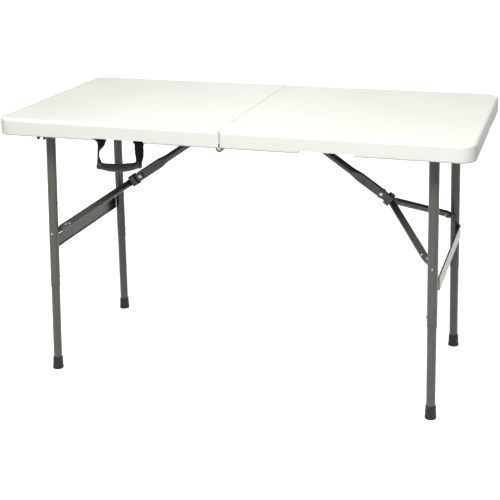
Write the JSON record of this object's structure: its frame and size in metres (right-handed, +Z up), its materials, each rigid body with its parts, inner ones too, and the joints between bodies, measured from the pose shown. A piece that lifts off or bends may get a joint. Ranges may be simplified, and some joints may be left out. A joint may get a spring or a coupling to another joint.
{
  "type": "folding table",
  "caption": "Fold-in-half table with a pale moulded top on telescoping steel legs, Y-shaped folding braces and a carrying handle.",
  "frame": {"origin": "on the floor, under the middle of the table top", "axes": "+X along the length of the top, -Y to the front where the handle is, +Z up"},
  "size_m": [1.22, 0.61, 0.735],
  "materials": {
    "top_plastic": "fine pebble grain",
    "leg_paint": "textured powder coat",
    "dark_steel": "satin",
    "zinc": "zinc plated",
    "foot_rubber": "matt",
    "webbing": "woven",
    "grip_plastic": "satin",
    "black_plastic": "satin"
  },
  "bodies": {
    "right_half": {"right_top": "top_plastic", "right_front_rail": "leg_paint", "right_back_rail": "leg_paint", "right_leg_brackets": "dark_steel", "right_brace_bracket": "dark_steel", "right_brace_pin": "zinc", "right_hinge_leaves": "dark_steel", "right_screws": "zinc"},
    "left_half": {"left_top": "top_plastic", "left_front_rail": "leg_paint", "left_back_rail": "leg_paint", "left_leg_brackets": "dark_steel", "left_brace_bracket": "dark_steel", "left_brace_pin": "zinc", "left_hinge_leaves": "dark_steel", "left_screws": "zinc", "handle_anchors": "dark_steel", "closing_clip": "black_plastic"},
    "hinge_sleeves": {"hinge_sleeves": "zinc"},
    "hinge_pins": {"hinge_pins": "zinc"},
    "handle": {"handle_strap": "webbing", "handle_grip": "grip_plastic"},
    "right_legs": {"right_pivot_tube": "leg_paint", "right_front_upper_leg": "leg_paint", "right_back_upper_leg": "leg_paint", "right_leg_bushes": "dark_steel", "right_crossbar": "leg_paint", "right_leg_rivets": "zinc"},
    "right_brace": {"right_upper_brace": "leg_paint"},
    "right_arms": {"right_front_arm": "leg_paint", "right_back_arm": "leg_paint", "right_arm_rivets": "zinc"},
    "right_lock_ring": {"right_lock_ring": "dark_steel"},
    "right_front_lower": {"right_front_lower_leg": "leg_paint", "right_front_foot": "foot_rubber", "right_front_spring": "zinc"},
    "right_front_button": {"right_front_button": "zinc"},
    "right_back_lower": {"right_back_lower_leg": "leg_paint", "right_back_foot": "foot_rubber", "right_back_spring": "zinc"},
    "right_back_button": {"right_back_button": "zinc"},
    "left_legs": {"left_pivot_tube": "leg_paint", "left_front_upper_leg": "leg_paint", "left_back_upper_leg": "leg_paint", "left_leg_bushes": "dark_steel", "left_crossbar": "leg_paint", "left_leg_rivets": "zinc"},
    "left_brace": {"left_upper_brace": "leg_paint"},
    "left_arms": {"left_front_arm": "leg_paint", "left_back_arm": "leg_paint", "left_arm_rivets": "zinc"},
    "left_lock_ring": {"left_lock_ring": "dark_steel"},
    "left_front_lower": {"left_front_lower_leg": "leg_paint", "left_front_foot": "foot_rubber", "left_front_spring": "zinc"},
    "left_front_button": {"left_front_button": "zinc"},
    "left_back_lower": {"left_back_lower_leg": "leg_paint", "left_back_foot": "foot_rubber", "left_back_spring": "zinc"},
    "left_back_button": {"left_back_button": "zinc"}
  },
  "joints": [
    {"name": "centre_fold_a", "type": "hinge", "parent": "right_half", "child": "hinge_sleeves", "pos_m": [0, 0, 0.6905], "axis": [0, -1, 0], "range_deg": [0, 60]},
    {"name": "centre_fold_b", "type": "hinge", "parent": "hinge_sleeves", "child": "hinge_pins", "pos_m": [0, 0, 0.6905], "axis": [0, -1, 0], "range_deg": [0, 60]},
    {"name": "centre_fold_c", "type": "hinge", "parent": "hinge_pins", "child": "left_half", "pos_m": [0, 0, 0.6905], "axis": [0, -1, 0], "range_deg": [0, 60]},
    {"name": "handle_swing", "type": "hinge", "parent": "left_half", "child": "handle", "pos_m": [-0.266, -0.293, 0.6905], "axis": [-1, 0, 0], "range_deg": [-45, 90]},
    {"name": "right_leg_fold", "type": "hinge", "parent": "right_half", "child": "right_legs", "pos_m": [0.505, 0, 0.7085], "axis": [0, 1, 0], "range_deg": [0, 91.95]},
    {"name": "right_brace_fold", "type": "hinge", "parent": "right_half", "child": "right_brace", "pos_m": [0.064, 0, 0.7085], "axis": [0, -1, 0], "range_deg": [0, 34.27]},
    {"name": "right_elbow", "type": "hinge", "parent": "right_brace", "child": "right_arms", "pos_m": [0.34482, 0, 0.51722], "axis": [0, 1, 0], "range_deg": [0, 180.01]},
    {"name": "right_lock_ring_slide", "type": "slide", "parent": "right_brace", "child": "right_lock_ring", "axis": [-0.8265, 0, 0.563], "range_m": [0, 0.2251]},
    {"name": "right_front_leg_slide", "type": "slide", "parent": "right_legs", "child": "right_front_lower", "axis": [-0.034, 0.034, 0.9988], "range_m": [0, 0.21377]},
    {"name": "right_front_button_press", "type": "slide", "parent": "right_front_lower", "child": "right_front_button", "axis": [0.9994, 0, 0.034], "range_m": [0, 0.003], "stiffness_N_per_m": 1500, "springref_m": -0.001, "deforming": ["right_front_spring"]},
    {"name": "right_back_leg_slide", "type": "slide", "parent": "right_legs", "child": "right_back_lower", "axis": [-0.034, -0.034, 0.9988], "range_m": [0, 0.21377]},
    {"name": "right_back_button_press", "type": "slide", "parent": "right_back_lower", "child": "right_back_button", "axis": [0.9994, 0, 0.034], "range_m": [0, 0.003], "stiffness_N_per_m": 1500, "springref_m": -0.001, "deforming": ["right_back_spring"]},
    {"name": "left_leg_fold", "type": "hinge", "parent": "left_half", "child": "left_legs", "pos_m": [-0.505, 0, 0.7085], "axis": [0, -1, 0], "range_deg": [0, 91.95]},
    {"name": "left_brace_fold", "type": "hinge", "parent": "left_half", "child": "left_brace", "pos_m": [-0.064, 0, 0.7085], "axis": [0, 1, 0], "range_deg": [0, 34.27]},
    {"name": "left_elbow", "type": "hinge", "parent": "left_brace", "child": "left_arms", "pos_m": [-0.34482, 0, 0.51722], "axis": [0, -1, 0], "range_deg": [0, 180.01]},
    {"name": "left_lock_ring_slide", "type": "slide", "parent": "left_brace", "child": "left_lock_ring", "axis": [0.8265, 0, 0.563], "range_m": [0, 0.2251]},
    {"name": "left_front_leg_slide", "type": "slide", "parent": "left_legs", "child": "left_front_lower", "axis": [0.034, 0.034, 0.9988], "range_m": [0, 0.21377]},
    {"name": "left_front_button_press", "type": "slide", "parent": "left_front_lower", "child": "left_front_button", "axis": [-0.9994, 0, 0.034], "range_m": [0, 0.003], "stiffness_N_per_m": 1500, "springref_m": -0.001, "deforming": ["left_front_spring"]},
    {"name": "left_back_leg_slide", "type": "slide", "parent": "left_legs", "child": "left_back_lower", "axis": [0.034, -0.034, 0.9988], "range_m": [0, 0.21377]},
    {"name": "left_back_button_press", "type": "slide", "parent": "left_back_lower", "child": "left_back_button", "axis": [-0.9994, 0, 0.034], "range_m": [0, 0.003], "stiffness_N_per_m": 1500, "springref_m": -0.001, "deforming": ["left_back_spring"]}
  ],
  "couplings": [
    {"joint": "right_brace_fold", "follows": "right_leg_fold", "ratio": 0.3726},
    {"joint": "right_elbow", "follows": "right_leg_fold", "ratio": 1.9576},
    {"joint": "right_lock_ring_slide", "follows": "right_leg_fold", "m_per_rad": 0.1402},
    {"joint": "right_front_leg_slide", "follows": "right_leg_fold", "m_per_rad": 0.13317},
    {"joint": "right_back_leg_slide", "follows": "right_leg_fold", "m_per_rad": 0.13317},
    {"joint": "left_brace_fold", "follows": "left_leg_fold", "ratio": 0.3726},
    {"joint": "left_elbow", "follows": "left_leg_fold", "ratio": 1.9576},
    {"joint": "left_lock_ring_slide", "follows": "left_leg_fold", "m_per_rad": 0.1402},
    {"joint": "left_front_leg_slide", "follows": "left_leg_fold", "m_per_rad": 0.13317},
    {"joint": "left_back_leg_slide", "follows": "left_leg_fold", "m_per_rad": 0.13317}
  ]
}
